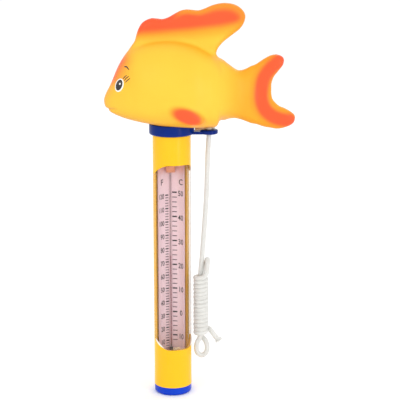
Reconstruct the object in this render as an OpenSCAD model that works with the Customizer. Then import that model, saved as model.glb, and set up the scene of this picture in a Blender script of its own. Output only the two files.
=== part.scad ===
// Floating pool thermometer: a hollow vinyl fish on a weighted, windowed tube.
// Origin: centre of the bottom cap's flat base. +Z runs up the tube, the fish's head
// points along -X, and the tether's eyelet points along +X. Millimetres.

/* [Tube] */
// Outer diameter of the tube
tube_d = 22.4; // [21.8:0.2:23]
// Wall thickness of the tube
tube_wall = 1.4; // [1.2:0.1:1.6]
// Height of the collar's underside, where the full-width tube ends
tube_top = 157.5; // [155:0.5:160]
// Height of the cap's visible band
cap_band = 4.9; // [4:0.1:6]

/* [Window] */
// Lower edge of the window
window_low = 28.5; // [27.5:0.5:30]
// Upper edge of the window
window_high = 140.5; // [137:0.5:142]
// Direction that the window faces, turned from -Y towards +X
window_turn = 20; // [0:5:30]
// Corner radius at the window's upper edge
window_r_high = 6; // [4:0.5:8]
// Corner radius at the window's lower edge
window_r_low = 6; // [5:0.5:9]

/* [Scale] */
// Direction that the scale card faces, turned from -Y towards +X
card_turn = 8.5; // [0:0.5:15]
// Height of the 0 degree mark
zero_z = 47; // [45:0.5:49]
// Length of one degree Celsius on the scale
degree_mm = 1.48; // [1.4:0.01:1.5]
// Temperature that the spirit shows at rest
shown_c = 24; // [10:1:40]

/* [Fish] */
// Wall thickness of the vinyl
vinyl_wall = 2.2; // [1.8:0.1:2.6]
// Thickness of the fins at their edge
fin_edge = 5; // [4:0.5:6]
// Thickness of the fins away from their edge
fin_core = 8; // [7:0.5:9]

/* [Tether] */
// Outer diameter of the collar
collar_d = 26.4; // [26:0.2:27]
// Height of the collar
collar_h = 6.5; // [6:0.25:6.5]
// Distance from the tube's axis to the eyelet's hole
eyelet_x = 21.8; // [21.2:0.2:22]
// Diameter of the eyelet
eyelet_d = 10.4; // [9.6:0.2:10.6]
// Diameter of the braided cord
cord_d = 3; // [2.6:0.1:3]

/* [Hidden] */
$fn = 96;

// Clearances
running_gap = 0.05;     // a part that turns on another
seat_gap = 0.3;         // faces of parts that turn past each other
joint_gap = 0.06;       // the bonded seam round the window
slip_gap = 0.1;         // a part that is slid into the tube
cut = 1;                // how far a cutter runs past what it cuts

// Tube
tube_r = tube_d / 2;
bore_r = tube_r - tube_wall;
neck_r = tube_r - 0.5;
shoulder_z = tube_top - seat_gap;
neck_top = tube_top + collar_h;
window_back = 1.2;      // how far the window reaches behind the tube's axis

// Bottom cap and its seal
cap_r = tube_r - 0.1;
cap_edge_r = 1.5;
cap_spigot_r = bore_r - slip_gap / 2;
cap_spigot_top = 10.5;
seal_wire = 0.8;        // radius of the seals' section
seal_mid_r = bore_r - seal_wire - 0.02;
groove_floor_r = seal_mid_r - seal_wire - 0.02;
groove_half_h = 1;
cap_seal_z = 7.5;
ballast_well_r = 6.6;
ballast_well_floor = 2.2;

// Stack inside the tube, from the cap up
ballast_r = bore_r - 0.3;
ballast_top = 16.5;
pad_top = 18;
lower_holder_top = 22;
upper_holder_low = 141.2;
upper_holder_top = 145.5;

// Scale card and glass
card_r = 8.6;           // outside of the rolled card
card_t = 0.4;
card_half_angle = 68;
card_low = 20.5;
card_high = 143.5;
glass_offset = 6.6;     // from the tube's axis to the glass
glass_r = 0.95;
glass_top = 143;
clip_low = 133.6;
clip_h = 3.6;
clip_w = 5;
clip_t = 4;
bulb_r = 1.5;
bulb_low = 18.6;
bulb_high = 26.4;
bulb_cavity_r = 1.1;
capillary_r = 0.34;
spirit_r = 0.32;
capillary_low = 26.8;
capillary_top = 136;
spirit_top = zero_z + shown_c * degree_mm;

// Neck stem
stem_r = 8;
stem_spigot_low = 148;
stem_spigot_r = bore_r - slip_gap / 2;
stem_bore_r = 6.2;
stem_seal_z = 152;
flange_r = 11.2;
flange_low = neck_top;
flange_h = 1.2;
barb_r = 9.4;
barb_low = 176.5;
stem_top = 180;

// Collar, eyelet and knot
collar_top = neck_top - seat_gap;
collar_bore_r = neck_r + running_gap;
collar_edge_r = 1.2;
arm_t = 1.6;
arm_w = 7;
eyelet_t = 2.6;
eyelet_edge_r = 0.8;
eyelet_hole_r = 1.9;
knot_r = 3.4;
knot_h = 1.9;
knot_end_x = 13.6;        // where the knot's short end stops, over the arm
knot_end_r = 1.3;
knot_bend_r = 0.9;

// Seat of the fish: a round recess over the collar and one over the stem's flange
fish_base = 162.4;      // lowest point of the belly
lip_r = collar_d / 2;     // rim of the seat, flush with the collar
lip_low = collar_top + seat_gap;
recess_r = lip_r + 0.8;
flange_recess_r = flange_r + seat_gap;
flange_recess_top = flange_low + flange_h + seat_gap;
fish_bore_r = stem_r + running_gap;
seat_pad_r = recess_r + vinyl_wall;
seat_pad_top = flange_recess_top + vinyl_wall;
boss_r = 11;
boss_top = barb_low - seat_gap;

// Fish body: stations along X, each [x, lowest z, widest z, highest z, half width]
body_stations = [
    [-38.8, 175.6, 177.4, 179.0, 1.5],
    [-37.8, 173.4, 177.4, 181.8, 4.2],
    [-34.8, 171.0, 177.6, 187.6, 8.4],
    [-30, 168.9, 178.5, 198.0, 12.8],
    [-24, 167.1, 180, 206.4, 17.0],
    [-16, 165.4, 181, 210.8, 20.6],
    [-6, 163.8, 181.5, 212.6, 22.6],
    [4, 162.9, 181.5, 212.4, 23.0],
    [14, 162.4, 181.5, 209.8, 21.6],
    [22, 162.4, 181.5, 205.6, 18.4],
    [25.4, 163.0, 181.5, 203.0, 16.4],
    [28.4, 166.0, 181.5, 200.4, 14.0],
    [34, 168.6, 181, 195.6, 9.8],
    [40, 168.4, 180.5, 193.2, 5.6],
    [46, 166.4, 180, 195.0, 3.0]
];
cavity_first = 3;       // stations that the hollow spans
cavity_last = 12;
belly_power = 0.5;      // 1 is round; smaller makes the belly flatter and its sides upright
rings_per_station = 2;
side_fin_at = [9.5, 21, 170.6];
side_fin_half = [9, 2.6, 4.2];
side_fin_tilt = 15;
ring_sides = 24;

// Outlines of the fins in the X-Z plane, as points on a smooth closed curve
dorsal_outline = [
    [-22.5, 207.5], [-20.4, 212], [-18.8, 217.5], [-15.2, 222.6], [-9, 224.1],
    [-3, 223.9], [2.5, 227], [9, 229.2], [16, 228.8], [23, 231.4], [30, 233],
    [37, 231.8], [42.2, 227.4], [41, 221.5], [34.5, 215], [28.5, 210], [25.8, 204.6],
    [20, 199], [0, 203], [-18, 201]
];
tail_outline = [
    [38, 193], [44, 193.9], [51, 199.2], [58, 203.2], [63.5, 202.8], [64.4, 198.6],
    [59.6, 191.4], [57.7, 184], [58.4, 177.6], [63, 173.9], [69, 171.2], [71.8, 166.4],
    [69, 161.9], [62, 160.2], [51, 162.6], [44, 165.8], [38, 168.2], [35, 180]
];
outline_steps = 4;

// Route of the cord: straight run, loop under the hank, bight over it and loose end.
// All points are [x, y, z], chosen so that the cord hangs beside the tube.
cord_run = [
    [21.8, 0, 157.5], [21.5, 0, 152], [21.1, 0, 146], [20.8, 0, 137], [20.4, 0, 124],
    [19.6, 0, 110], [18.6, 0, 96], [17.6, 0.2, 83], [16.7, 0, 72.8]
];
cord_loop_route = [
    [16.3, -1.6, 34], [14.9, -1.4, 31.4], [14.0, -0.8, 27.4], [14.7, -0.2, 23.6],
    [17.4, 0, 21.6], [20.1, 0.2, 23.6], [20.7, 0.8, 27.4], [19.3, 1.4, 31.4],
    [17.3, 1.6, 34]
];
cord_bight_route = [
    [17.4, 3.6, 72.8], [19.1, 3.7, 76], [20.4, 3.2, 79.6], [20.9, 0.9, 81.8],
    [20.9, -1.4, 80.8], [20.6, -2.6, 77], [20, -2.9, 72.8]
];
cord_tail_route = [
    [21.1, 2.2, 38.4], [22.3, 0.5, 38.2], [23.5, -0.5, 36.7], [24.8, -0.8, 35], [26.6, -1, 32.6]
];
hank_low = 34;
hank_high = 72.8;
hank_x = 16.9;
hank_w = 9.2;
hank_depth = 11.6;
cord_sides = 8;

// ---------- smooth curves ----------

// One point of a Catmull-Rom curve between b and c, at t from 0 to 1
function smooth_point(a, b, c, d, t) =
    0.5 * (2 * b + (c - a) * t + (2 * a - 5 * b + 4 * c - d) * t * t
        + (3 * b - a - 3 * c + d) * t * t * t);

// Samples an open curve through every row of a list
function smooth_open(rows, steps) = [
    for (i = [0 : len(rows) - 2], s = [0 : steps - 1])
        smooth_point(rows[max(i - 1, 0)], rows[i], rows[i + 1],
            rows[min(i + 2, len(rows) - 1)], s / steps),
    rows[len(rows) - 1]
];

// Samples a closed curve through every point of a list
function smooth_closed(points, steps) = [
    for (i = [0 : len(points) - 1], s = [0 : steps - 1])
        let (n = len(points))
        smooth_point(points[(i + n - 1) % n], points[i], points[(i + 1) % n],
            points[(i + 2) % n], s / steps)
];

// ---------- general shapes ----------

// Faces of a solid made of rings with the same number of points each
function ring_faces(rings, sides) = concat(
    [[for (k = [0 : sides - 1]) k]],
    [for (i = [0 : rings - 2], k = [0 : sides - 1])
        [i * sides + k, (i + 1) * sides + (k + 1) % sides, i * sides + (k + 1) % sides]],
    [for (i = [0 : rings - 2], k = [0 : sides - 1])
        [i * sides + k, (i + 1) * sides + k, (i + 1) * sides + (k + 1) % sides]],
    [[for (k = [sides - 1 : -1 : 0]) (rings - 1) * sides + k]]
);

// Ring of the fish's body at one station, drawn in by inset on every side
function body_ring(station, inset) = [
    for (k = [0 : ring_sides - 1])
        let (
            a = 360 * k / ring_sides,
            half_w = station[4] - inset,
            up = station[3] - inset - station[2],
            down = station[2] - station[1] - inset,
            across = sin(a) < 0 ? sign(cos(a)) * pow(abs(cos(a)), belly_power) : cos(a),
            rise = sin(a) < 0 ? -down * pow(-sin(a), belly_power) : up * sin(a)
        )
        [station[0], half_w * across, station[2] + rise]
];

module body_loft(stations, inset) {
    rows = smooth_open(stations, rings_per_station);
    points = [for (row = rows) each body_ring(row, inset)];
    polyhedron(points, ring_faces(len(rows), ring_sides));
}

// Flat fin in the X-Z plane, thinner along its edge
module fin(outline) {
    points = smooth_closed(outline, outline_steps);
    rotate([90, 0, 0]) {
        translate([0, 0, -fin_edge / 2])
            linear_extrude(fin_edge)
                polygon(points);
        translate([0, 0, -fin_core / 2])
            linear_extrude(fin_core)
                offset(delta = -3)
                    polygon(points);
    }
}

// Round tube swept along a route; its first and last rings are level
module swept_tube(route, diameter, steps, level_ends = true) {
    rows = smooth_open(route, steps);
    last = len(rows) - 1;
    side = [0, 1, 0];
    points = [
        for (i = [0 : last])
            let (
                ahead = rows[min(i + 1, last)] - rows[max(i - 1, 0)],
                run = level_ends && (i == 0 || i == last)
                    ? [0, 0, sign(ahead[2])] : ahead / norm(ahead),
                flat = cross(run, side) / norm(cross(run, side)),
                other = cross(flat, run)
            )
            for (k = [0 : cord_sides - 1])
                let (a = 360 * (k + 0.5) / cord_sides)
                rows[i] + diameter / 2 * (cos(a) * flat + sin(a) * other)
    ];
    polyhedron(points, ring_faces(last + 1, cord_sides));
}

module ring(outer_r, inner_r, low, high) {
    difference() {
        translate([0, 0, low])
            cylinder(r = outer_r, h = high - low);
        translate([0, 0, low - cut])
            cylinder(r = inner_r, h = high - low + 2 * cut);
    }
}

module disc(r, low, high) {
    translate([0, 0, low])
        cylinder(r = r, h = high - low);
}

module seal(z) {
    translate([0, 0, z])
        rotate_extrude()
            translate([seal_mid_r, 0])
                circle(r = seal_wire, $fn = 32);
}

// Places what faces -Y so that it faces the scale's direction instead
module on_card_side() {
    rotate([0, 0, card_turn])
        children();
}

// Places what stands on the glass's axis
module on_glass_axis() {
    on_card_side()
        translate([0, glass_offset, 0])
            children();
}

// ---------- the tube and its window ----------

// Outline of the window, flat, with its corners drawn in by gap
module window_outline(gap) {
    low = window_low + gap;
    high = window_high - gap;
    half_w = tube_r - gap;
    r_low = window_r_low - gap;
    r_high = window_r_high - gap;
    translate([-half_w + r_low, low])
        square([2 * (half_w - r_low), r_low]);
    translate([-half_w + r_high, high - r_high])
        square([2 * (half_w - r_high), r_high]);
    for (side = [-1, 1]) {
        translate([side * (half_w - r_low), low + r_low])
            circle(r = r_low);
        translate([side * (half_w - r_high), high - r_high])
            circle(r = r_high);
    }
    translate([-tube_r - cut, low + r_low])
        square([2 * (tube_r + cut), high - r_high - low - r_low]);
}

// Everything in front of the window's back edge, within its outline
module window_region(gap) {
    rotate([0, 0, window_turn])
        translate([0, window_back - gap, 0])
            rotate([90, 0, 0])
                linear_extrude(window_back - gap + tube_r + cut)
                    window_outline(gap);
}

module body_tube() {
    color("gold")
        difference() {
            union() {
                disc(tube_r, cap_band, shoulder_z);
                disc(neck_r, cap_band, neck_top);
            }
            disc(bore_r, cap_band - cut, neck_top + cut);
            window_region(0);
        }
}

module window() {
    color("lightgray", 0.4)
        intersection() {
            ring(tube_r, bore_r, window_low - cut, window_high + cut);
            window_region(joint_gap);
        }
}

// ---------- bottom end ----------

module bottom_cap() {
    color("royalblue")
        difference() {
            union() {
                rotate_extrude()
                    union() {
                        square([cap_r - cap_edge_r, cap_band - joint_gap]);
                        translate([0, cap_edge_r])
                            square([cap_r, cap_band - joint_gap - cap_edge_r]);
                        translate([cap_r - cap_edge_r, cap_edge_r])
                            circle(r = cap_edge_r);
                    }
                disc(cap_spigot_r, cap_band - cut, cap_spigot_top);
            }
            disc(ballast_well_r, ballast_well_floor, cap_spigot_top + cut);
            ring(cap_spigot_r + cut, groove_floor_r,
                cap_seal_z - groove_half_h, cap_seal_z + groove_half_h);
        }
}

module cap_seal() {
    color("dimgray")
        seal(cap_seal_z);
}

// Turned steel slug: a plug in the cap's well under a disc that fills the tube
module ballast_weight() {
    color("silver") {
        disc(ballast_well_r - slip_gap, ballast_well_floor + slip_gap, ballast_top);
        disc(ballast_r, cap_spigot_top + slip_gap, ballast_top);
    }
}

module ballast_pad() {
    color("white")
        disc(ballast_r, ballast_top + slip_gap, pad_top);
}

// ---------- thermometer ----------

// Arc-shaped slot or strip that the rolled card follows
module card_arc(inner, outer, low, high, half_angle) {
    on_card_side()
        rotate([0, 0, 90 - half_angle])
            translate([0, 0, low])
                rotate_extrude(angle = 2 * half_angle)
                    translate([inner, 0])
                        square([outer - inner, high - low]);
}

module scale_card() {
    color("thistle")
        card_arc(card_r - card_t, card_r, card_low, card_high, card_half_angle);
}

// Disc with a slot for the card and a hole for the glass
module holder(low, high, slot_low, slot_high, hole_r) {
    difference() {
        disc(ballast_r, low, high);
        card_arc(card_r - card_t - slip_gap, card_r + slip_gap, slot_low, slot_high,
            card_half_angle + 1);
        on_glass_axis()
            disc(hole_r, slot_low, slot_high);
    }
}

module upper_holder() {
    color("orange")
        holder(upper_holder_low, upper_holder_top, upper_holder_low - cut,
            card_high + slip_gap, glass_r + slip_gap);
}

module lower_holder() {
    color("ivory")
        holder(pad_top + slip_gap, lower_holder_top, bulb_low - 0.1,
            lower_holder_top + cut, bulb_r + slip_gap);
}

// Saddle that holds the top of the glass against the card
module stem_clip() {
    color("darkorange")
        on_card_side()
            difference() {
                intersection() {
                    translate([-clip_w / 2, glass_offset - clip_t / 2, clip_low])
                        cube([clip_w, clip_t, clip_h]);
                    disc(card_r - card_t - slip_gap, clip_low, clip_low + clip_h);
                }
                translate([0, glass_offset, clip_low - cut])
                    cylinder(r = glass_r + slip_gap, h = clip_h + 2 * cut);
            }
}

module thermometer_glass() {
    color("lavender", 0.5)
        on_glass_axis()
            difference() {
                union() {
                    disc(glass_r, bulb_low + bulb_r, glass_top);
                    disc(bulb_r, bulb_low + bulb_r, bulb_high - bulb_r);
                    translate([0, 0, bulb_low + bulb_r])
                        sphere(r = bulb_r);
                    translate([0, 0, bulb_high - bulb_r])
                        sphere(r = bulb_r);
                }
                disc(bulb_cavity_r, bulb_low + bulb_r, bulb_high - bulb_r);
                disc(capillary_r, bulb_low + bulb_r, capillary_top);
            }
}

module bulb_spirit() {
    color("darkred")
        on_glass_axis() {
            disc(bulb_cavity_r - 0.02, bulb_low + bulb_r + 0.02, bulb_high - bulb_r - 0.02);
            disc(spirit_r, bulb_low + bulb_r + 0.02, capillary_low);
        }
}

module spirit_thread() {
    color("red")
        on_glass_axis()
            disc(spirit_r, capillary_low, spirit_top);
}

// ---------- neck and float ----------

module neck_stem() {
    color("navy")
        difference() {
            union() {
                disc(stem_spigot_r, stem_spigot_low, neck_top);
                disc(flange_r, flange_low, flange_low + flange_h);
                disc(stem_r, flange_low, stem_top);
                translate([0, 0, barb_low])
                    cylinder(r1 = barb_r, r2 = stem_r, h = stem_top - barb_low);
            }
            disc(stem_bore_r, stem_spigot_low - cut, stem_top - 2);
            ring(stem_spigot_r + cut, groove_floor_r,
                stem_seal_z - groove_half_h, stem_seal_z + groove_half_h);
        }
}

module stem_seal() {
    color("dimgray")
        seal(stem_seal_z);
}

// Raised pad of a side fin, one on each side of the belly
module side_fin(side) {
    translate([side_fin_at[0], side * side_fin_at[1], side_fin_at[2]])
        rotate([0, side_fin_tilt, 0])
            scale(side_fin_half)
                sphere(r = 1, $fn = 20);
}

module fish_float() {
    cavity = [for (i = [cavity_first : cavity_last]) body_stations[i]];
    color("gold")
        difference() {
            union() {
                body_loft(body_stations, 0);
                fin(dorsal_outline);
                fin(tail_outline);
                side_fin(-1);
                side_fin(1);
                disc(lip_r, lip_low, seat_pad_top);
            }
            difference() {
                body_loft(cavity, vinyl_wall);
                disc(seat_pad_r, fish_base, seat_pad_top);
                disc(boss_r, fish_base, boss_top);
            }
            disc(recess_r, fish_base - cut, lip_low);
            disc(flange_recess_r, fish_base - cut, flange_recess_top);
            disc(fish_bore_r, fish_base - cut, boss_top + cut);
        }
}

// ---------- tether ----------

// Ring that turns on the tube's neck, with an arm out to a rounded eyelet
module tether_collar() {
    color("darkblue")
        difference() {
            union() {
                rotate_extrude()
                    union() {
                        translate([0, tube_top + collar_edge_r])
                            square([collar_d / 2, collar_top - tube_top - collar_edge_r]);
                        translate([0, tube_top])
                            square([collar_d / 2 - collar_edge_r, collar_top - tube_top]);
                        translate([collar_d / 2 - collar_edge_r, tube_top + collar_edge_r])
                            circle(r = collar_edge_r);
                    }
                translate([collar_d / 2 - 1.5, -arm_w / 2, tube_top + 0.1])
                    cube([eyelet_x - collar_d / 2, arm_w, arm_t]);
                translate([eyelet_x, 0, tube_top + eyelet_t / 2])
                    rotate_extrude()
                        union() {
                            for (side = [-1, 1])
                                translate([eyelet_d / 2 - eyelet_edge_r,
                                        side * (eyelet_t / 2 - eyelet_edge_r)])
                                    circle(r = eyelet_edge_r);
                            translate([0, -eyelet_t / 2])
                                square([eyelet_d / 2 - eyelet_edge_r, eyelet_t]);
                            translate([0, -eyelet_t / 2 + eyelet_edge_r])
                                square([eyelet_d / 2, eyelet_t - 2 * eyelet_edge_r]);
                        }
            }
            disc(collar_bore_r, tube_top - cut, neck_top + cut);
            translate([eyelet_x, 0, tube_top - cut])
                cylinder(r = eyelet_hole_r, h = eyelet_t + 2 * cut);
        }
}

// Stopper knot that rests on the eyelet, with the cord's first few millimetres in the hole
module tether_knot() {
    color("white")
        translate([eyelet_x, 0, tube_top]) {
            cylinder(r = cord_d / 2, h = eyelet_t + 1);
            translate([0, 0, eyelet_t])
                rotate_extrude()
                    union() {
                        square([knot_r - knot_h / 2, knot_h]);
                        translate([knot_r - knot_h / 2, knot_h / 2])
                            circle(r = knot_h / 2);
                    }
            translate([knot_end_x - eyelet_x, 0, eyelet_t + 0.05 + knot_bend_r])
                rotate([0, 90, 0])
                    cylinder(r = knot_bend_r, h = eyelet_x - knot_end_x, $fn = 32);
            translate([knot_end_x - eyelet_x, 0, arm_t + 0.15 + knot_end_r])
                rotate([0, 90, 0])
                    cylinder(r = knot_end_r, h = eyelet_x - eyelet_d / 2 - knot_end_x - 0.2,
                        $fn = 32);
        }
}

module tether_cord() {
    color("white")
        swept_tube(cord_run, cord_d, 2);
}

module cord_bight() {
    color("white")
        swept_tube(cord_bight_route, cord_d, 2);
}

// Outer shape of the wrapped hank: an oval with round ends, drawn out along Z
module cord_hank() {
    shift = (hank_depth - hank_w) / 2;
    color("white")
        translate([hank_x, 0, hank_low])
            linear_extrude(hank_high - hank_low)
                union() {
                    for (side = [-1, 1])
                        translate([0, side * shift])
                            circle(r = hank_w / 2);
                    square([hank_w, 2 * shift], center = true);
                }
}

module cord_loop() {
    color("white")
        swept_tube(cord_loop_route, cord_d, 2);
}

module cord_tail() {
    color("white")
        swept_tube(cord_tail_route, cord_d, 2, false);
}

fish_float();
neck_stem();
stem_seal();
tether_collar();
body_tube();
window();
scale_card();
thermometer_glass();
bulb_spirit();
spirit_thread();
stem_clip();
upper_holder();
lower_holder();
ballast_pad();
ballast_weight();
bottom_cap();
cap_seal();
tether_knot();
tether_cord();
cord_bight();
cord_hank();
cord_loop();
cord_tail();
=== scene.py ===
"""Looks of the floating pool thermometer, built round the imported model.

Lengths are millimetres until a mesh is made."""

import itertools
import math

import bpy
import numpy as np
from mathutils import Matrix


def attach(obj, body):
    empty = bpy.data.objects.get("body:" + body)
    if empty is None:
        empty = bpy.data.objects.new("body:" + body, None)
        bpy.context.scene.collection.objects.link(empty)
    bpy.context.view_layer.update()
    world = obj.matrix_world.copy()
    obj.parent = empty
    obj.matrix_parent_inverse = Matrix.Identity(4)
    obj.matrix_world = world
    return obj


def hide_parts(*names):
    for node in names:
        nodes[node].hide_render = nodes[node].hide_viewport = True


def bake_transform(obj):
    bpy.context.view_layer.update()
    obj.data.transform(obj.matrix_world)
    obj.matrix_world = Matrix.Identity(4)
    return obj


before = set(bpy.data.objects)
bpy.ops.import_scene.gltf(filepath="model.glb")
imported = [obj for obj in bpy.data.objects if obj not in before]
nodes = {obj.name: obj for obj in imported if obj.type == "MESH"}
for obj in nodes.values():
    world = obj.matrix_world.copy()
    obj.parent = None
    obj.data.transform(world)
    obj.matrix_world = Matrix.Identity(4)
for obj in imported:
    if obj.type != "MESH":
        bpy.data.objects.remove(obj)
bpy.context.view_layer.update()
scene = bpy.context.scene
MM = 0.001

# ---------- camera ----------

CAMERA_AT = np.array([0.0, -767.0, 288.0])
camera_data = bpy.data.cameras.new("camera")
camera_data.lens = 120
camera_data.sensor_width = 36
camera = bpy.data.objects.new("camera", camera_data)
camera.location = CAMERA_AT * MM
camera.rotation_euler = (math.radians(90 - 12.5), math.radians(0.09), math.radians(-1.25))
scene.collection.objects.link(camera)
scene.camera = camera
scene.view_settings.view_transform = "Standard"

# ---------- small tools ----------


def srgb(red, green, blue):
    """Linear colour from 8-bit screen values."""
    v = np.array([red, green, blue], float) / 255
    return np.where(v <= 0.04045, v / 12.92, ((v + 0.055) / 1.055) ** 2.4)


def smoothstep(low, high, value):
    t = np.clip((value - low) / (high - low), 0, 1)
    return t * t * (3 - 2 * t)


def smooth_min(a, b, width):
    h = np.clip(0.5 + 0.5 * (b - a) / width, 0, 1)
    return b * (1 - h) + a * h - width * h * (1 - h)


def unit(v):
    return v / np.linalg.norm(v, axis=-1, keepdims=True)


def catmull(rows, steps, closed=False):
    """Points on a smooth curve through every row."""
    p = np.array(rows, float)
    n = len(p)
    t = np.linspace(0, 1, steps, endpoint=False)[:, None]
    out = []
    for i in range(n if closed else n - 1):
        if closed:
            a, b, c, d = (p[(i + k) % n] for k in (-1, 0, 1, 2))
        else:
            a, b, c, d = p[max(i - 1, 0)], p[i], p[i + 1], p[min(i + 2, n - 1)]
        out.append(
            0.5 * (2 * b + (c - a) * t + (2 * a - 5 * b + 4 * c - d) * t**2
                   + (3 * b - a - 3 * c + d) * t**3)
        )
    if not closed:
        out.append(p[-1:])
    return np.concatenate(out)


def even_path(rows, spacing, steps=16):
    """A smooth curve through the rows, cut into even lengths."""
    dense = catmull(rows, steps)
    s = np.concatenate([[0], np.cumsum(np.linalg.norm(np.diff(dense, axis=0), axis=1))])
    at = np.linspace(0, s[-1], int(s[-1] / spacing) + 2)
    return np.stack([np.interp(at, s, dense[:, k]) for k in range(3)], axis=1)


def eased(path, rounds):
    """The same path with its short kinks eased out; its ends stay put."""
    path = path.copy()
    for _ in range(rounds):
        path[1:-1] = 0.25 * path[:-2] + 0.5 * path[1:-1] + 0.25 * path[2:]
    return path


def add_mesh(name, points, faces, material, body, smooth=True):
    """A new mesh piece, from millimetres, that moves with a CAD body."""
    mesh = bpy.data.meshes.new(name)
    mesh.from_pydata((np.asarray(points) * MM).tolist(), [], [list(f) for f in faces])
    mesh.polygons.foreach_set("use_smooth", [smooth] * len(mesh.polygons))
    mesh.materials.append(material)
    mesh.update()
    obj = bpy.data.objects.new(name, mesh)
    scene.collection.objects.link(obj)
    if body:
        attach(obj, body)
    return obj


def ring_faces(rings, sides, start=0):
    """Quads between rings of points, with a cap on each end."""
    faces = []
    for i in range(rings - 1):
        a, b = start + i * sides, start + (i + 1) * sides
        faces += [(a + k, a + (k + 1) % sides, b + (k + 1) % sides, b + k) for k in range(sides)]
    faces.append([start + k for k in range(sides - 1, -1, -1)])
    faces.append([start + (rings - 1) * sides + k for k in range(sides)])
    return faces


def lathe(profile, sides=64, centre=(0, 0)):
    """Points and faces of a turned shape: profile rows are [radius, z] from one end to the other."""
    a = np.linspace(0, 2 * np.pi, sides, endpoint=False)
    points = [
        [centre[0] + r * math.cos(k), centre[1] + r * math.sin(k), z] for r, z in profile for k in a
    ]
    return points, ring_faces(len(profile), sides)


# ---------- materials ----------


def plastic(name, light, dark, rough=0.3, grain=40.0, bump=0.04, bump_scale=900.0, rough_spread=0.06,
            coat=0.0, sheen=0.0, specular=0.5, paint=None):
    """Moulded or woven surface: two close colours mottled by noise, uneven gloss and a fine relief.
    With paint, the colours multiply the mesh's own colour layer of that name."""
    material = bpy.data.materials.new(name)
    material.use_nodes = True
    tree = material.node_tree
    shader = tree.nodes["Principled BSDF"]
    where = tree.nodes.new("ShaderNodeTexCoord")
    mottle = tree.nodes.new("ShaderNodeTexNoise")
    mottle.inputs["Scale"].default_value = grain
    mottle.inputs["Detail"].default_value = 3
    tree.links.new(where.outputs["Object"], mottle.inputs["Vector"])
    ramp = tree.nodes.new("ShaderNodeValToRGB")
    ramp.color_ramp.elements[0].position = 0.3
    ramp.color_ramp.elements[1].position = 0.7
    ramp.color_ramp.elements[0].color = (*dark, 1)
    ramp.color_ramp.elements[1].color = (*light, 1)
    tree.links.new(mottle.outputs["Fac"], ramp.inputs["Fac"])
    colour = ramp.outputs["Color"]
    if paint:
        layer = tree.nodes.new("ShaderNodeAttribute")
        layer.attribute_name = paint
        mix = tree.nodes.new("ShaderNodeMix")
        mix.data_type = "RGBA"
        mix.blend_type = "MULTIPLY"
        mix.inputs["Factor"].default_value = 1
        tree.links.new(layer.outputs["Color"], mix.inputs["A"])
        tree.links.new(colour, mix.inputs["B"])
        colour = mix.outputs["Result"]
    tree.links.new(colour, shader.inputs["Base Color"])
    spread = tree.nodes.new("ShaderNodeMapRange")
    spread.inputs["To Min"].default_value = rough - rough_spread
    spread.inputs["To Max"].default_value = rough + rough_spread
    tree.links.new(mottle.outputs["Fac"], spread.inputs["Value"])
    tree.links.new(spread.outputs["Result"], shader.inputs["Roughness"])
    relief = tree.nodes.new("ShaderNodeTexNoise")
    relief.inputs["Scale"].default_value = bump_scale
    relief.inputs["Detail"].default_value = 2
    tree.links.new(where.outputs["Object"], relief.inputs["Vector"])
    normal = tree.nodes.new("ShaderNodeBump")
    normal.inputs["Strength"].default_value = bump
    normal.inputs["Distance"].default_value = 0.0004
    tree.links.new(relief.outputs["Fac"], normal.inputs["Height"])
    tree.links.new(normal.outputs["Normal"], shader.inputs["Normal"])
    shader.inputs["Coat Weight"].default_value = coat
    shader.inputs["Coat Roughness"].default_value = 0.08
    shader.inputs["Sheen Weight"].default_value = sheen
    shader.inputs["Specular IOR Level"].default_value = specular
    return material


def clear(name, tint, grazing, rough=0.04, streak=250.0, edge=(1, 1, 1)):
    """Clear material: see-through, with a faintly streaked gloss that grows towards grazing angles."""
    material = bpy.data.materials.new(name)
    material.use_nodes = True
    tree = material.node_tree
    tree.nodes.remove(tree.nodes["Principled BSDF"])
    out = tree.nodes["Material Output"]
    see = tree.nodes.new("ShaderNodeBsdfTransparent")
    see.inputs["Color"].default_value = (*tint, 1)
    gloss = tree.nodes.new("ShaderNodeBsdfGlossy")
    gloss.inputs["Roughness"].default_value = rough
    gloss.inputs["Color"].default_value = (*edge, 1)
    weight = tree.nodes.new("ShaderNodeLayerWeight")
    weight.inputs["Blend"].default_value = 0.5
    where = tree.nodes.new("ShaderNodeTexCoord")
    noise = tree.nodes.new("ShaderNodeTexNoise")
    noise.inputs["Scale"].default_value = streak
    tree.links.new(where.outputs["Object"], noise.inputs["Vector"])
    normal = tree.nodes.new("ShaderNodeBump")
    normal.inputs["Strength"].default_value = 0.03
    normal.inputs["Distance"].default_value = 0.0003
    tree.links.new(noise.outputs["Fac"], normal.inputs["Height"])
    tree.links.new(normal.outputs["Normal"], gloss.inputs["Normal"])
    steep = tree.nodes.new("ShaderNodeMath")
    steep.operation = "POWER"
    steep.inputs[1].default_value = 4
    tree.links.new(weight.outputs["Facing"], steep.inputs[0])
    amount = tree.nodes.new("ShaderNodeMath")
    amount.operation = "MULTIPLY_ADD"
    amount.inputs[1].default_value = grazing
    amount.inputs[2].default_value = 0.04
    tree.links.new(steep.outputs["Value"], amount.inputs[0])
    mix = tree.nodes.new("ShaderNodeMixShader")
    tree.links.new(amount.outputs["Value"], mix.inputs["Fac"])
    tree.links.new(see.outputs["BSDF"], mix.inputs[1])
    tree.links.new(gloss.outputs["BSDF"], mix.inputs[2])
    tree.links.new(mix.outputs["Shader"], out.inputs["Surface"])
    return material


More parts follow.
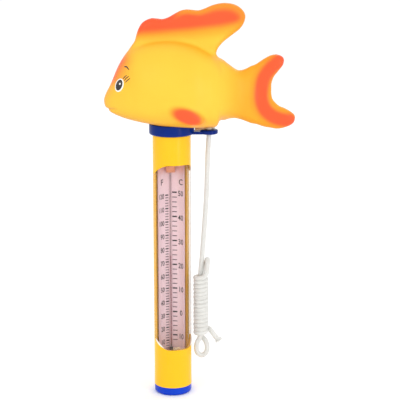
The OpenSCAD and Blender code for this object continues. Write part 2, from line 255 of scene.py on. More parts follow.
vinyl = plastic("vinyl", (1, 1, 1), (0.975, 0.96, 0.91), rough=0.42, grain=55, bump=0.03,
                bump_scale=1400, specular=0.22, paint="paint")
tube_yellow = plastic("tube_yellow", srgb(249, 191, 20), srgb(246, 185, 15), rough=0.24, grain=30,
                      bump=0.015, bump_scale=300, specular=0.25)
navy = plastic("navy", srgb(5, 42, 130), srgb(2, 34, 116), rough=0.24, grain=60, bump=0.03, specular=0.12)
cap_blue = plastic("cap_blue", srgb(12, 64, 198), srgb(8, 54, 184), rough=0.24, grain=60, bump=0.03,
                   specular=0.16)
card_pink = plastic("card_pink", srgb(238, 213, 219), srgb(232, 206, 213), rough=0.55, grain=90,
                    bump=0.03, specular=0.2)
ink = plastic("ink", srgb(16, 5, 14), srgb(12, 4, 10), rough=0.5, grain=300, bump=0.02, specular=0.2)
fine_ink = plastic("fine_ink", srgb(60, 32, 46), srgb(50, 26, 38), rough=0.5, grain=300, bump=0.02,
                   specular=0.2)
amber = plastic("amber", srgb(232, 158, 112), srgb(222, 142, 98), rough=0.3, grain=120, bump=0.03)
amber_dark = plastic("amber_dark", srgb(176, 96, 56), srgb(160, 82, 46), rough=0.3, grain=120, bump=0.03)
ivory = plastic("ivory", srgb(240, 226, 178), srgb(228, 208, 150), rough=0.45, grain=120, bump=0.08)
glue = plastic("glue", srgb(250, 240, 210), srgb(240, 220, 170), rough=0.25, grain=400, bump=0.3,
               bump_scale=1500)
foam = plastic("foam", srgb(240, 240, 236), srgb(222, 222, 216), rough=0.9, grain=500, bump=0.5,
               bump_scale=2500)
steel = plastic("steel", srgb(168, 168, 172), srgb(150, 150, 156), rough=0.35, grain=200, bump=0.1)
steel.node_tree.nodes["Principled BSDF"].inputs["Metallic"].default_value = 1
rubber = plastic("rubber", srgb(34, 34, 36), srgb(26, 26, 28), rough=0.7, grain=200, bump=0.1)
spirit_dark = plastic("spirit_dark", srgb(56, 20, 34), srgb(44, 14, 26), rough=0.2, grain=300, bump=0.02)
spirit_line = plastic("spirit_line", srgb(150, 84, 92), srgb(138, 72, 82), rough=0.3, grain=300, bump=0.02)
# Painted highlight colour for the window's lower corners
painted_highlight_white = plastic("painted_highlight_white", srgb(250, 246, 238), srgb(240, 234, 222), rough=0.15, grain=300,
                     bump=0.02, specular=0.6)
# The weave colour layer carries painted shade in the braid's grooves
cord_white = plastic("cord_white", srgb(236, 235, 231), srgb(226, 225, 220), rough=0.85, grain=700,
                     bump=0.4, bump_scale=3500, sheen=0.15, specular=0.15, paint="weave")
eye_white = plastic("eye_white", srgb(252, 250, 244), srgb(244, 240, 232), rough=0.3, grain=200, bump=0.02)
eye_dark = plastic("eye_dark", srgb(44, 36, 34), srgb(30, 24, 24), rough=0.25, grain=300, bump=0.02)
# Painted reflection: the card's top is tinted warm, standing in for light bounced onto it from the amber
# holder above it
tree = card_pink.node_tree
shader = tree.nodes["Principled BSDF"]
plain = shader.inputs["Base Color"].links[0].from_socket
where = tree.nodes.new("ShaderNodeTexCoord")
parts = tree.nodes.new("ShaderNodeSeparateXYZ")
tree.links.new(where.outputs["Object"], parts.inputs["Vector"])
near_top = tree.nodes.new("ShaderNodeMapRange")
near_top.inputs["From Min"].default_value = 131.5 * MM
near_top.inputs["From Max"].default_value = 138.5 * MM
near_top.inputs["To Max"].default_value = 0.75
tree.links.new(parts.outputs["Z"], near_top.inputs["Value"])
painted_amber_glow = tree.nodes.new("ShaderNodeMix")
painted_amber_glow.data_type = "RGBA"
painted_amber_glow.inputs["B"].default_value = (*srgb(226, 146, 112), 1)
tree.links.new(near_top.outputs["Result"], painted_amber_glow.inputs["Factor"])
tree.links.new(plain, painted_amber_glow.inputs["A"])
tree.links.new(painted_amber_glow.outputs["Result"], shader.inputs["Base Color"])
window_clear = clear("window_clear", (0.985, 0.975, 0.975), 0.95, edge=(0.62, 0.59, 0.57))
glass_clear = clear("glass_clear", (0.975, 0.955, 0.96), 0.4, rough=0.03, edge=(0.8, 0.7, 0.7))

for node, material in {
    "neck_stem": navy, "tether_collar": navy, "body_tube": tube_yellow, "window": window_clear,
    "scale_card": card_pink, "thermometer_glass": glass_clear, "bulb_spirit": spirit_dark,
    "stem_clip": amber, "upper_holder": amber, "lower_holder": ivory, "ballast_pad": foam,
    "ballast_weight": steel, "bottom_cap": cap_blue, "cap_seal": rubber, "stem_seal": rubber,
}.items():
    slots = nodes[node].data.materials
    slots.clear()
    slots.append(material)
for node in ("window", "thermometer_glass"):
    nodes[node].visible_shadow = False  # light goes straight through the clear pieces

# ---------- cord ----------

CORD_D = 3.0
CORD_EXIT = (21.8, 0, 157.5)
HANK_X = 16.9
WRAP_TURNS = 14.6
WRAP_HALF = (3.2, 4.3)  # from the hank's middle to the wraps' centreline, along X and Y
WRAP_TOP, WRAP_END = 71.4, 36.0
WRAP_STEPS = 24  # points in a turn
CORD_STEP = 0.2
KINK_ROUNDS = 40

cord_run = [
    (21.8, 0, 160.0), CORD_EXIT, (21.5, 0, 152), (21.1, 0, 146), (20.8, 0, 137), (20.4, 0, 124),
    (19.6, 0, 110), (18.6, 0, 96), (17.6, 0.2, 83), (16.7, 0, 72.8), (16.3, -1.4, 60),
    (16.2, -1.6, 46), (16.3, -1.6, 34),
]
cord_loop = [
    (14.9, -1.4, 31.4), (14.0, -0.8, 27.4), (14.7, -0.2, 23.6), (17.4, 0, 21.6), (20.1, 0.2, 23.6),
    (20.7, 0.8, 27.4), (19.3, 1.4, 31.4), (17.3, 1.6, 34), (17.2, 1.8, 46), (17.2, 2.4, 60),
]
cord_bight = [
    (17.4, 3.6, 72.8), (19.1, 3.7, 76), (20.4, 3.2, 79.6), (20.9, 0.9, 81.8), (20.9, -1.4, 80.8),
    (20.6, -2.6, 77), (20.0, -3.2, 73.6),
]
wraps = []
for step in range(1, int(WRAP_TURNS * WRAP_STEPS)):
    turn = step / WRAP_STEPS
    angle = math.radians(-50) - 2 * math.pi * turn
    height = WRAP_TOP + (WRAP_END - WRAP_TOP) * turn / WRAP_TURNS
    tight = 1 + 0.025 * math.sin(3.7 * turn)
    wraps.append((
        HANK_X + WRAP_HALF[0] * tight * math.cos(angle),
        WRAP_HALF[1] * math.sin(angle),
        height + 0.12 * math.sin(5.1 * turn + 1),
    ))
cord_tail = [
    (19.2, 3.6, 37.4), (21.1, 2.2, 38.4), (22.3, 0.5, 38.2), (23.5, -0.5, 36.7), (24.8, -0.8, 35),
    (26.6, -1, 32.6),
]
cord_points = cord_run + cord_loop + cord_bight + wraps + cord_tail
cord_path = even_path(eased(even_path(cord_points, CORD_STEP), KINK_ROUNDS), CORD_STEP, steps=1)


def braided_tube(path, diameter, sides=32, cell=1.9, strands=4, depth=0.24, flat=1.0, taper=0.0,
                 shade=0.45):
    """Points, faces and shades of a braided cord along a path. It rises where two strands cross, and
    has shade painted into the grooves between them."""
    p = np.array(path)
    along = unit(np.gradient(p, axis=0))
    side = np.zeros_like(p)
    side[0] = unit(np.cross(along[0], [0.0, 1.0, 0.02]))
    for i in range(1, len(p)):
        side[i] = unit(side[i - 1] - along[i] * np.dot(side[i - 1], along[i]))
    other = np.cross(along, side)
    s = np.concatenate([[0], np.cumsum(np.linalg.norm(np.diff(p, axis=0), axis=1))])[:, None]
    a = np.linspace(0, 2 * np.pi, sides, endpoint=False)[None, :]
    weave = np.abs(np.cos(np.pi * s / cell + strands * a) * np.cos(np.pi * s / cell - strands * a))
    radius = diameter / 2 - depth + depth * np.sqrt(weave)
    if taper:
        radius = radius * (1 - taper * (s / s[-1]) ** 2)
    points = (
        p[:, None, :]
        + (radius * np.cos(a))[..., None] * side[:, None, :]
        + (radius * np.sin(a))[..., None] * other[:, None, :]
    )
    if flat != 1.0:
        centre = p[:, None, 2]
        points[..., 2] = centre + (points[..., 2] - centre) * flat
    # Painted shade: darker towards the grooves between the strands
    shades = 1 - shade * (1 - np.sqrt(weave)) ** 1.5
    return points.reshape(-1, 3), ring_faces(len(p), sides), shades.reshape(-1)


def joined(parts):
    """Several (points, faces) pairs as one."""
    points, faces, base = [], [], 0
    for p, f in parts:
        points.append(np.asarray(p, float))
        faces += [[base + i for i in face] for face in f]
        base += len(p)
    return np.concatenate(points), faces


def colour_layer(obj, name, colours):
    """Stores one linear colour per point."""
    layer = obj.data.color_attributes.new(name, "FLOAT_COLOR", "POINT")
    rgba = np.ones((len(colours), 4), np.float32)
    rgba[:, :3] = colours
    layer.data.foreach_set("color", rgba.ravel())


def cord_piece(name, parts, shade_tints=None):
    """One piece of cord from braided tubes, with their painted groove shade and any tint of painted shade.
    """
    piece = add_mesh(name, *joined([part[:2] for part in parts]), cord_white, "tether")
    shade_tints = shade_tints or [(1, 1, 1)] * len(parts)
    colour_layer(piece, "weave", np.concatenate([
        part[2][:, None] * np.array(tint) for part, tint in zip(parts, shade_tints)
    ]))
    return piece


tether = cord_piece("braided_tether", [braided_tube(cord_path, CORD_D)])
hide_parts("tether_cord", "cord_bight", "cord_hank", "cord_loop", "cord_tail")

# The stopper knot: a flattened overhand knot on the eyelet, with its end laid over the arm
t = np.linspace(0, 2 * np.pi, 140)
knot_path = np.stack([
    CORD_EXIT[0] + 1.05 * (np.sin(t) + 1.6 * np.sin(2 * t)),
    1.05 * (np.cos(t) - 1.6 * np.cos(2 * t)),
    161.1 - 0.12 * np.sin(3 * t),
], axis=1)
end_path = even_path([
    (20.4, -1.2, 161.15), (18.8, -1.5, 161.2), (17.2, -1.5, 161.0), (15.6, -1.4, 160.55),
    (13.5, -1.3, 160.5),
], 0.15)
# The knot and its end are tinted warm and darker: painted shade under the fish's belly, with painted warm
# light reflected from the yellow vinyl
knot = cord_piece("stopper_knot", [
    braided_tube(knot_path, 2.0, sides=24, cell=1.5, strands=3, depth=0.12, flat=0.85),
    braided_tube(end_path, 2.3, sides=24, cell=1.6, strands=3, depth=0.14, flat=0.92),
], shade_tints=[(0.86, 0.74, 0.62), (0.86, 0.52, 0.30)])
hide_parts("tether_knot")

# The cord's frayed end: loose yarns that fan out of the braid
draws = np.random.RandomState(7)
yarns = []
fray_from = np.array([26.2, -1.0, 33.1])
fray_way = unit(np.array([1.6, -0.15, -1.75]))
fray_up = unit(np.cross(fray_way, [0, 1, 0]))
for n in range(34):
    spread_up, spread_side = draws.uniform(-1, 1), draws.uniform(-1, 1)
    start = fray_from + fray_up * spread_up * 0.95 + np.array([0, spread_side * 0.95, 0])
    tip = (start + fray_way * draws.uniform(1.8, 3.2) + fray_up * spread_up * 1.6
           + np.array([0, spread_side * 0.9, 0]))
    middle = (start + tip) / 2 + fray_way * 0.3 + draws.uniform(-0.15, 0.15, 3)
    yarns.append(braided_tube(even_path([start, middle, tip], 0.3), 0.42, sides=6, depth=0.02, taper=0.55,
                              shade=0.2))
frayed = cord_piece("frayed_yarns", yarns)

# ---------- fish ----------

BODY_STATIONS = [  # x, lowest z, widest z, highest z, half width
    (-38.8, 175.6, 177.2, 178.8, 1.2),
    (-37.8, 173.3, 177.2, 181.6, 4.2),
    (-34.8, 170.9, 177.6, 187.4, 8.5),
    (-30, 168.8, 178.5, 198.2, 12.8),
    (-24, 167.0, 180, 206.6, 17.0),
    (-16, 165.3, 181, 211.0, 20.6),
    (-6, 163.7, 181.5, 212.7, 22.6),
    (4, 162.8, 181.5, 212.4, 23.0),
    (14, 162.3, 181.5, 209.8, 21.6),
    (22, 162.3, 181.5, 205.6, 18.4),
    (25.8, 162.6, 181.5, 202.8, 16.2),
    (27.6, 165.6, 181.5, 201.2, 14.8),
    (29.4, 167.4, 181.4, 199.6, 13.2),
    (34, 168.4, 181, 195.8, 9.8),
    (40, 168.2, 180.5, 193.2, 5.6),
    (46, 166.4, 180, 195.0, 3.0),
]
DORSAL = [
    (-23, 207.0), (-20.9, 211.6), (-19.9, 215), (-18.5, 218.9), (-16, 222.4), (-11.5, 224.5),
    (-8, 224.4), (-4.6, 224.1), (-1.2, 225.2), (2.3, 227.2), (5.8, 228.9), (9.2, 229.5), (12.7, 229.2),
    (16, 229.0), (19.6, 230.1), (23, 231.6), (26.5, 232.6), (30, 233.1), (33.6, 232.9), (37.3, 231.9),
    (40.9, 229.2), (42.6, 225.8), (41.8, 221.8), (39.2, 218.1), (34.4, 214.4), (30, 210.9), (27.2, 207.6),
    (25.8, 204.6), (24, 200), (16, 198), (0, 200), (-16, 200), (-22, 202),
]
TAIL = [
    (28, 199), (32, 197.4), (36.9, 193.2), (40.3, 193.0), (43.8, 194.2), (47.3, 196.6), (50.7, 199.2),
    (54.2, 201.5), (57.8, 203.2), (61.4, 203.5), (64.7, 201.6), (64.6, 197.8), (61.4, 193.5), (59.2, 190.6),
    (58.0, 187), (57.9, 184), (58.0, 180.4), (59.0, 177.2), (62.2, 173.9), (65, 172.7), (68.4, 170.9),
    (71.6, 168.2), (71.4, 164.5), (68.9, 162.2), (64.6, 160.7), (61, 160.3), (57.6, 160.9),
    (54, 161.5), (50.7, 162.6), (47.3, 163.9), (43.8, 165.4), (40.3, 166.9), (36.9, 168.0),
    (33.4, 167.6), (30, 166.6), (28, 170), (26, 180), (26, 190),
]
BELLY_POWER = 3.6
FIN_HALF = 3.7  # half thickness of the fins
SIDE_FIN_AT = (8.9, 21.0, 170.9)
SIDE_FIN_HALF = (10.0, 2.9, 3.9)
SIDE_FIN_TILT = math.radians(21)
MOUTH_Z = 172.9
SEAT_PAD = (12.9, 164.3, 169.0)  # radius, lowest z and highest z of the skin round the neck
SEAT_RECESSES = [  # the same for the room over the collar, over the flange and round the stem
    (13.8, 100, 164.1), (11.5, 100, 165.6), (8.15, 100, 176.6),
]
body_rows = catmull(BODY_STATIONS, 8)
dorsal_line = catmull(DORSAL, 4, closed=True)
tail_line = catmull(TAIL, 4, closed=True)


def outline_distance(line, x, z):
    """Distance in the X-Z plane to a closed outline, negative inside it."""
    best = np.full(np.broadcast(x, z).shape, np.inf)
    inside = np.zeros(best.shape, bool)
    for (x0, z0), (x1, z1) in zip(line, np.roll(line, -1, axis=0)):
        ex, ez = x1 - x0, z1 - z0
        along = np.clip(((x - x0) * ex + (z - z0) * ez) / (ex * ex + ez * ez + 1e-12), 0, 1)
        best = np.minimum(best, (x - x0 - along * ex) ** 2 + (z - z0 - along * ez) ** 2)
        if z0 != z1:
            inside ^= ((z0 <= z) != (z1 <= z)) & (x < x0 + (z - z0) / (z1 - z0) * ex)
    return np.sqrt(best) * np.where(inside, -1, 1)


def rounded_plate(edge, across, half, radius):
    """Distance to a plate with rounded rims, from the distance to its outline and to its middle."""
    a, b = edge + radius, np.abs(across) - (half - radius)
    return np.hypot(np.maximum(a, 0), np.maximum(b, 0)) + np.minimum(np.maximum(a, b), 0) - radius


def body_distance(x, y, z):
    low, wide, top, half = (np.interp(x, body_rows[:, 0], body_rows[:, k]) for k in (1, 2, 3, 4))
    rise = z - wide
    tall = np.where(rise >= 0, top - wide, wide - low)
    ay, az = np.abs(y) / half, np.abs(rise) / tall
    power = BELLY_POWER
    q = np.where(rise >= 0, np.hypot(ay, az), (ay**power + az**power) ** (1 / power))
    r = np.hypot(y, rise)
    d = np.where(q > 0.05, r * (1 - 1 / np.maximum(q, 0.05)), -np.minimum(half, tall))
    ahead = np.maximum(body_rows[0, 0] - x, 0) + np.maximum(x - body_rows[-1, 0], 0)
    return np.where(ahead > 0, np.hypot(np.maximum(d, 0), ahead), d)


def disc_distance(x, y, z, radius, low, high):
    return np.maximum(np.hypot(x, y) - radius, np.maximum(low - z, z - high))


def along_side_fin(x, z):
    """Distances along and across the side fin, in the X-Z plane, from its middle."""
    u, w = x - SIDE_FIN_AT[0], z - SIDE_FIN_AT[2]
    return (u * math.cos(SIDE_FIN_TILT) - w * math.sin(SIDE_FIN_TILT),
            u * math.sin(SIDE_FIN_TILT) + w * math.cos(SIDE_FIN_TILT))


def fish_distance(x, y, z, dorsal=None, tail=None):
    """Distance to the fish's skin, negative inside."""
    if dorsal is None:
        dorsal, tail = outline_distance(dorsal_line, x, z), outline_distance(tail_line, x, z)
    d = body_distance(x, y, z)
    d = smooth_min(d, rounded_plate(tail, y, FIN_HALF, FIN_HALF - 0.2), 6.0)
    d = smooth_min(d, rounded_plate(dorsal, y, FIN_HALF, FIN_HALF - 0.2), 3.0)
    u, w = along_side_fin(x, z)
    q = np.sqrt((u / SIDE_FIN_HALF[0]) ** 2 + (w / SIDE_FIN_HALF[2]) ** 2
                + ((np.abs(y) - SIDE_FIN_AT[1]) / SIDE_FIN_HALF[1]) ** 2)
    d = smooth_min(d, (q - 1) * SIDE_FIN_HALF[1], 3.0)
    mouth = np.exp(-((z - MOUTH_Z - 0.1 * (x + 37)) / 0.8) ** 2) * smoothstep(-29.5, -34.5, x)
    d = d + 1.1 * mouth
    d = smooth_min(d, disc_distance(x, y, z, *SEAT_PAD), 1.0)
    recess = np.minimum.reduce([disc_distance(x, y, z, *room) for room in SEAT_RECESSES])
    return np.maximum(d, -recess)


def surface_net(field, low, step):
    """Quads over the zero surface of a grid of distances: one point in each cell that it crosses."""
    shape = np.array(field.shape) - 1
    total, count = np.zeros((*shape, 3)), np.zeros(shape)

    def corner(c):
        return field[tuple(slice(c[k], c[k] + shape[k]) for k in range(3))]

    for c in itertools.product((0, 1), repeat=3):
        for axis in range(3):
            if c[axis]:
                continue
            d = list(c)
            d[axis] = 1
            a, b = corner(c), corner(d)
            crossed = (a < 0) != (b < 0)
            part = np.where(crossed, a / np.where(crossed, a - b, 1), 0)
            for k in range(3):
                total[..., k] += crossed * c[k] + (part if k == axis else 0)
            count += crossed
    used = count > 0
    index = np.full(shape, -1)
    index[used] = np.arange(used.sum())
    points = (np.argwhere(used) + total[used] / count[used][:, None]) * step + low
    faces = []
    for axis in range(3):
        b_axis, c_axis = (axis + 1) % 3, (axis + 2) % 3
        inner = [slice(None)] * 3
        inner[b_axis] = inner[c_axis] = slice(1, -1)
        first, second = list(inner), list(inner)
        first[axis], second[axis] = slice(0, -1), slice(1, None)
        a, b = field[tuple(first)] < 0, field[tuple(second)] < 0
        for outward in (True, False):
            at = np.argwhere(a & ~b if outward else ~a & b)
            at[:, b_axis] += 1
            at[:, c_axis] += 1
            quad = []
            for db, dc in ((1, 1), (0, 1), (0, 0), (1, 0)):
                cell = at.copy()
                cell[:, b_axis] -= db
                cell[:, c_axis] -= dc
                quad.append(index[tuple(cell.T)])
            quad = np.stack(quad, axis=1)
            faces.append(quad if outward else quad[:, ::-1])
    return points, np.concatenate(faces)


def skin_normal(p, reach=0.25):
    """Direction out of the fish at points, from differences of its distance."""
    out = np.zeros_like(p)
    for k in range(3):
        for sign in (-1, 1):
            q = p.copy()
            q[:, k] += sign * reach
            out[:, k] += sign * fish_distance(q[:, 0], q[:, 1], q[:, 2])
    return out / (2 * reach)


GRID = 0.8
low = np.array([-42.0, -27.2, 159.0])
count = [146, 69, 97]
axes = [low[k] + GRID * np.arange(count[k]) for k in range(3)]
gx, gy, gz = np.meshgrid(*axes, indexing="ij")
flat_x, flat_z = np.meshgrid(axes[0], axes[2], indexing="ij")
field = fish_distance(
    gx, gy, gz,
    outline_distance(dorsal_line, flat_x, flat_z)[:, None, :],
    outline_distance(tail_line, flat_x, flat_z)[:, None, :],
)
fish_points, fish_faces = surface_net(field, low, GRID)
for _ in range(2):
    slope = skin_normal(fish_points)
    miss = fish_distance(*fish_points.T)
    move = miss / np.maximum((slope**2).sum(1), 0.3)
    fish_points = fish_points - np.clip(move, -0.4, 0.4)[:, None] * slope


def polyline_distance(line, x, z):
    best = np.full(x.shape, np.inf)
    for (x0, z0), (x1, z1) in zip(line[:-1], line[1:]):
        ex, ez = x1 - x0, z1 - z0
        along = np.clip(((x - x0) * ex + (z - z0) * ez) / (ex * ex + ez * ez), 0, 1)
        best = np.minimum(best, np.hypot(x - x0 - along * ex, z - z0 - along * ez))
    return best


YELLOW = srgb(251, 193, 58)
DEEP = srgb(245, 160, 30)
ORANGE = srgb(250, 138, 34)
RED = srgb(252, 88, 46)
TAIL_BAND = catmull([
    (62.8, 200.4), (57.6, 196.4), (53.4, 190.5), (52.0, 184), (52.0, 178), (54.0, 172.4),
    (58.2, 168.4), (63.0, 166.4), (68.2, 165.5),
], 6)


def fish_paint(p):
    """Airbrushed colours of the fish at points on its skin, with painted shade towards its outline and on
    its undersides.
    """
    x, y, z = p.T
    normal = unit(skin_normal(p))
    # Painted shade: the yellow deepens where the skin turns from the side towards the outline; it also
    # deepens towards the tail and the top
    tone_and_edge_shade = smoothstep(0.75, 0.15, np.abs(normal[:, 1])) * 0.85
    tone_and_edge_shade = np.maximum(tone_and_edge_shade, 0.9 * smoothstep(26, 44, x))
    tone_and_edge_shade = np.maximum(tone_and_edge_shade, 0.5 * smoothstep(211, 217, z))
    colour = YELLOW + (DEEP - YELLOW) * tone_and_edge_shade[:, None]
    # Painted shade: undersides are darkened
    colour = colour * (1 - 0.16 * smoothstep(0.1, -0.7, normal[:, 2]))[:, None]

    def spray(mask, paint):
        nonlocal colour
        colour = colour + (paint - colour) * np.clip(mask, 0, 1)[:, None]

    edge = -outline_distance(dorsal_line, x, z)
    line = np.interp(x, [-22, -16.4, 9.9, 28.3, 42], [215.6, 216.6, 218.6, 220.6, 223.2])
    band = smoothstep(-2.6, 2.4, z - line)
    spray(0.75 * smoothstep(-7, 1, z - line), ORANGE)
    rim = smoothstep(0, 8, x) * smoothstep(3.6 + 2.4 * smoothstep(14, 34, x), 0.6, edge)
    spray(band * (1 - 0.85 * rim), RED)
    crescent = polyline_distance(TAIL_BAND, x, z)
    spray(0.8 * smoothstep(8.5, 3.5, crescent), ORANGE)
    spray(smoothstep(5.4, 2.4, crescent), RED)
    u, w = along_side_fin(x, z)
    patch = np.hypot(u / 10.2, w / 4.8)
    spray(0.75 * smoothstep(1.3, 0.75, patch), ORANGE)
    spray(smoothstep(1.04, 0.6, patch), RED)
    brow = np.exp(-(y / 10.5) ** 2) * smoothstep(185, 191, z) * smoothstep(207, 200, z)
    brow = brow * smoothstep(-17, -27, x)
    spray(0.95 * brow, RED)
    return colour


fish = add_mesh("vinyl_fish", fish_points, fish_faces, vinyl, "float")
# The paint layer holds the airbrushed colours together with the painted shade
colour_layer(fish, "paint", fish_paint(fish_points))
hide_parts("fish_float")


def on_skin(plane):
    """Points on the fish's near side that cover points of the X-Z plane as the camera sees them."""
    plane = np.asarray(plane, float)
    depth = np.full(len(plane), -12.0)
    for _ in range(4):
        nearer = (depth - CAMERA_AT[1]) / -CAMERA_AT[1]
        x = plane[:, 0] * nearer
        z = CAMERA_AT[2] + (plane[:, 1] - CAMERA_AT[2]) * nearer
        outer, inner = np.full(len(plane), -30.0), np.zeros(len(plane))
        for _ in range(24):
            depth = (outer + inner) / 2
            inside = fish_distance(x, depth, z) < 0
            inner, outer = np.where(inside, depth, inner), np.where(inside, outer, depth)
    return np.stack([x, depth, z], axis=1)


def skin_shell(plane, faces, lift, sink=0.25):
    """A thin closed shell on both sides of the fish, over a patch of the X-Z plane."""
    skin = on_skin(plane)
    normal = unit(skin_normal(skin))
    lift = np.broadcast_to(lift, len(skin))[:, None]
    top, under = skin + normal * lift, skin - normal * sink
    n = len(skin)
    edges = {}
    for f in faces:
        for a, b in zip(f, f[1:] + f[:1]):
            edges[(a, b)] = True
    rim = [(a, b) for a, b in edges if (b, a) not in edges]
    solid = [list(f) for f in faces] + [[n + i for i in f[::-1]] for f in faces]
    solid += [[b, a, n + a, n + b] for a, b in rim]
    near = np.concatenate([top, under])
    far = near * np.array([1, -1, 1])
    return joined([(near, solid), (far, [f[::-1] for f in solid])])


def oval(centre, half, tilt, rings=6, sides=32):
    """Plane points and faces of a filled oval; tilt leans its top towards +X, in degrees."""
    points, lean = [centre], math.radians(tilt)
    for ring in range(1, rings + 1):
        for k in range(sides):
            a = 2 * math.pi * k / sides
            u, w = half[0] * ring / rings * math.cos(a), half[1] * ring / rings * math.sin(a)
            points.append((centre[0] + u * math.cos(lean) + w * math.sin(lean),
                           centre[1] - u * math.sin(lean) + w * math.cos(lean)))
    faces = [[0, 1 + k, 1 + (k + 1) % sides] for k in range(sides)]
    for ring in range(rings - 1):
        a, b = 1 + ring * sides, 1 + (ring + 1) * sides
        faces += [[a + k, b + k, b + (k + 1) % sides, a + (k + 1) % sides] for k in range(sides)]
    return points, faces


def stroke(line, width, rings=12):
    """Plane points and faces of a tapered brush stroke."""
    p = catmull(line, rings)
    way = unit(np.gradient(p, axis=0))
    across = np.stack([-way[:, 1], way[:, 0]], axis=1)
    s = np.linspace(0, 1, len(p))
    half = width / 2 * np.clip(np.sin(np.pi * (0.12 + 0.8 * s)), 0.12, 1)[:, None]
    points = np.stack([p - across * half, p, p + across * half], axis=1).reshape(-1, 2)
    faces = []
    for i in range(len(p) - 1):
        for k in (0, 1):
            a = 3 * i + k
            faces.append([a, a + 3, a + 4, a + 1])
    return points, faces


EYE = (-30.0, 186.1)
eye_parts = {
    "eye_whites": (eye_white, [(*oval(EYE, (2.35, 4.0), 17), 0.10)]),
    "eye_pupils": (eye_dark, [(*oval((-30.05, 186.2), (1.75, 3.25), 18), 0.18)]),
    "eye_glints": (eye_white, [(*oval((-29.55, 186.9), (0.42, 0.62), 18, rings=3), 0.25)]),
    "eye_lashes": (eye_dark, [
        (*stroke(line, 0.5), 0.07)
        for line in (
            [(-27.9, 189.7), (-26.9, 190.9), (-25.6, 191.9)],
            [(-27.2, 188.7), (-25.9, 190.2), (-24.4, 191.4)],
            [(-26.6, 187.7), (-25.2, 189.0), (-23.7, 190.2)],
        )
    ]),
    "eye_brows": (eye_dark, [(*stroke([(-27.1, 196.7), (-25.7, 196.7), (-24.3, 194.9)], 0.75), 0.07)]),
}
for name, (material, shapes) in eye_parts.items():
    shells = [skin_shell(points, faces, lift) for points, faces, lift in shapes]
    piece = add_mesh(name, *joined(shells), material, "float")

# ---------- printed scale ----------

CARD_TURN = math.radians(8.5)
PRINT_R = 8.15  # just in front of the card's inner face
PRINT_T = 0.04
ZERO_Z = 47.0
DEGREE = 1.48
SCALE_LEAN = 0.55  # how far the numbers sit under their marks


def on_card(flat):
    """Wraps [arc to the right, z, height off the card] onto the card."""
    flat = np.asarray(flat, float)
    a = flat[:, 0] / PRINT_R - CARD_TURN
    r = PRINT_R - flat[:, 2]
    return np.stack([r * np.sin(a), r * np.cos(a), flat[:, 1]], axis=1)


def mark(left, right, z, thick, pieces=4):
    """One printed line: a thin bar bent to the card."""
    rows = []
    for i in range(pieces + 1):
        s = left + (right - left) * i / pieces
        low, high = z - thick / 2, z + thick / 2
        rows += [(s, low, 0), (s, high, 0), (s, high, PRINT_T), (s, low, PRINT_T)]
    return on_card(rows), ring_faces(pieces + 1, 4)


def lettering(text, centre, z, height, width, align="CENTER"):
    """Printed characters as a thin mesh wrapped onto the card."""
    curve = bpy.data.curves.new("lettering", "FONT")
    curve.body = text
    curve.size = 1
    curve.align_x = align
    curve.extrude = 0.5
    curve.offset = 0.008
    curve.resolution_u = 3
    holder = bpy.data.objects.new("lettering", curve)
    scene.collection.objects.link(holder)
    depsgraph = bpy.context.evaluated_depsgraph_get()
    mesh = holder.evaluated_get(depsgraph).to_mesh()
    points = np.array([v.co for v in mesh.vertices])
    faces = [list(p.vertices) for p in mesh.polygons]
    holder.evaluated_get(depsgraph).to_mesh_clear()
    bpy.data.objects.remove(holder)
    bpy.data.curves.remove(curve)
    tall = points[:, 1].max() - points[:, 1].min()
    flat = np.stack([
        centre + points[:, 0] * width * height / tall,
        z + (points[:, 1] - (points[:, 1].max() + points[:, 1].min()) / 2) * height / tall,
        np.where(points[:, 2] > 0, PRINT_T, 0),
    ], axis=1)
    return on_card(flat), faces


bold, fine = [], []
for degrees in range(-12, 51, 2):
    z = ZERO_Z + degrees * DEGREE
    if degrees % 10 == 0:
        bold.append(mark(1.3, 4.1, z, 0.86))
        text = str(abs(degrees))
        bold.append(lettering(text, 6.75, z - SCALE_LEAN, 3.3, 0.86))
    else:
        fine.append(mark(1.3, 4.1, z, 0.46))
for degrees in range(0, 121, 2):
    z = ZERO_Z + (degrees - 32) / 1.8 * DEGREE
    if degrees % 10 == 0:
        bold.append(mark(-3.05, -1.05, z, 0.74))
        if degrees:
            bold.append(lettering(str(degrees), -3.8, z - SCALE_LEAN, 3.1, 0.76, "RIGHT"))
    else:
        fine.append(mark(-3.05, -1.05, z, 0.42))
bold.append(lettering("C", 6.9, 127.4, 3.6, 0.9))
bold.append(lettering("F", -5.5, 127.4, 3.6, 0.9))
for name, parts, material in (("scale_bold_print", bold, ink), ("scale_fine_print", fine, fine_ink)):
    piece = add_mesh(name, *joined(parts), material, "tube", smooth=False)

# ---------- glass, spirit and glue ----------

GLASS_AT = (-6.6 * math.sin(CARD_TURN), 6.6 * math.cos(CARD_TURN))
SPIRIT_LOW, SPIRIT_TOP = 26.8, ZERO_Z + 24 * DEGREE
SPIRIT_R = 0.32

column = [(SPIRIT_R, z) for z in np.linspace(SPIRIT_LOW, SPIRIT_TOP - 0.2, 60)]
column += [(SPIRIT_R * 0.93, SPIRIT_TOP - 0.1), (SPIRIT_R * 0.7, SPIRIT_TOP - 0.03), (0.06, SPIRIT_TOP)]
thread = add_mesh("spirit_column", *lathe(column, 16, GLASS_AT), spirit_line, None)
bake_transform(thread)
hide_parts("spirit_thread")

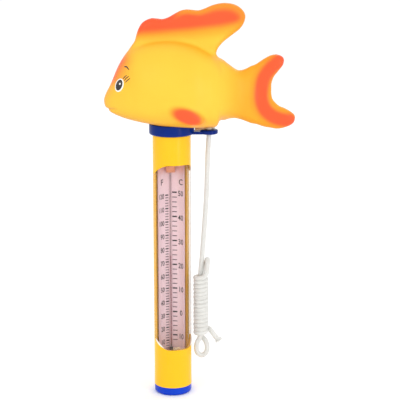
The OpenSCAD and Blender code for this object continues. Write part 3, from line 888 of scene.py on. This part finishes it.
draws = np.random.RandomState(3)
beads = []
for x, z, size in (
    (1.8, 23.6, 1.15), (3.4, 23.9, 1.2), (5.0, 23.5, 1.05), (0.4, 23.4, 0.9), (6.0, 24.2, 0.7),
):
    depth = math.sqrt(max(8.0**2 - x * x, 1)) - 1.0
    phase = draws.uniform(0, 6, 3)
    profile = [
        (max(size * math.sin(a), 0.02), size * 0.95 * math.cos(a)) for a in np.linspace(math.pi, 0, 14)
    ]
    points, faces = lathe(profile, 24)
    points = np.array(points)
    wobble = 1 + 0.16 * np.sin(3.1 * points[:, 0] + phase[0]) * np.sin(3.7 * points[:, 2] + phase[1])
    beads.append((points * wobble[:, None] + [x, depth, z], faces))
glue_piece = add_mesh("glue_beads", *joined(beads), glue, "tube")

# ---------- painted highlights on the window's lower corners, and clip pin ---

WINDOW_TURN = math.radians(20)
WINDOW_LOW, CORNER_R, TUBE_R = 28.5, 6.0, 11.2


def window_corner(side, first, last, steps=40):
    """Points along a lower corner of the window, on the tube's skin; angles run from the lower edge up."""
    out = []
    for a in np.radians(np.linspace(first, last, steps)):
        u = side * (TUBE_R - CORNER_R + (CORNER_R - 0.03) * math.sin(a))
        z = WINDOW_LOW + CORNER_R - (CORNER_R - 0.03) * math.cos(a)
        y = -math.sqrt(max(TUBE_R**2 - u * u, 0)) + 0.02
        out.append((u * math.cos(WINDOW_TURN) - y * math.sin(WINDOW_TURN),
                    u * math.sin(WINDOW_TURN) + y * math.cos(WINDOW_TURN), z + 0.35))
    return np.array(out)


def bead(path, radius, sides=8):
    """A round bead along a path, fading out at its ends."""
    swell = np.sin(np.linspace(0.08, np.pi - 0.08, len(path)))[:, None] * radius
    points, faces, _ = braided_tube(path, 2.0, sides=sides, depth=0.0)
    rings = np.array(points).reshape(len(path), sides, 3)
    rings = path[:, None, :] + (rings - path[:, None, :]) * swell[:, :, None]
    return rings.reshape(-1, 3), faces


# Painted highlight: white beads along the window's lower corners stand in for light glinting off the clear
# window's edge
corner_highlights = add_mesh(
    "window_corner_highlights",
    *joined([bead(window_corner(-1, 30, 88), 0.5), bead(window_corner(1, 26, 84), 0.5)]),
    painted_highlight_white, "tube",
)

pin_at = on_card([[3.2, 135.0, 1.2]])[0]
pin_profile = [(0.05, 133.4), (0.3, 133.5), (0.34, 134.4), (0.34, 136.4), (0.3, 137.1), (0.05, 137.2)]
pin = add_mesh("clip_pin", *lathe(pin_profile, 16, (pin_at[0], pin_at[1])), amber_dark, "tube")

# ---------- floor, light ----------


def softbox(name, place, aim, size, energy, colour=(1, 1, 1)):
    data = bpy.data.lights.new(name, "AREA")
    data.shape = "RECTANGLE"
    data.size, data.size_y = size
    data.energy = energy
    data.color = colour
    lamp = bpy.data.objects.new(name, data)
    lamp.location = place
    way = np.array(aim, float) - np.array(place, float)
    yaw = math.atan2(way[0], -way[1])
    pitch = math.atan2(math.hypot(way[0], way[1]), -way[2])
    lamp.rotation_euler = (pitch, 0, yaw + math.pi)
    scene.collection.objects.link(lamp)
    return lamp


softbox("key_light", (-0.55, -0.95, 0.75), (0, 0, 0.14), (0.6, 0.6), 1.7)
softbox("strip_light", (0.62, -0.72, 0.30), (0, 0, 0.12), (0.035, 0.7), 1.8)
softbox("back_light", (0.3, 0.9, 0.8), (0, 0, 0.15), (0.6, 0.4), 1.5)

world = bpy.data.worlds.new("studio")
world.use_nodes = True
world.node_tree.nodes["Background"].inputs["Color"].default_value = (1, 1, 1, 1)
world.node_tree.nodes["Background"].inputs["Strength"].default_value = 1.05
scene.world = world

floor_white = plastic("floor_white", (0.995, 0.995, 0.995), (0.99, 0.99, 0.99), rough=0.9, grain=6,
                      bump=0.01, specular=0.0)
FLOOR_Z = -0.05
floor_corners = [(-6000, -3000), (6000, -3000), (6000, 9000), (-6000, 9000)]
floor = add_mesh("floor", [(x, y, FLOOR_Z) for x, y in floor_corners], [(0, 1, 2, 3)], floor_white, None)
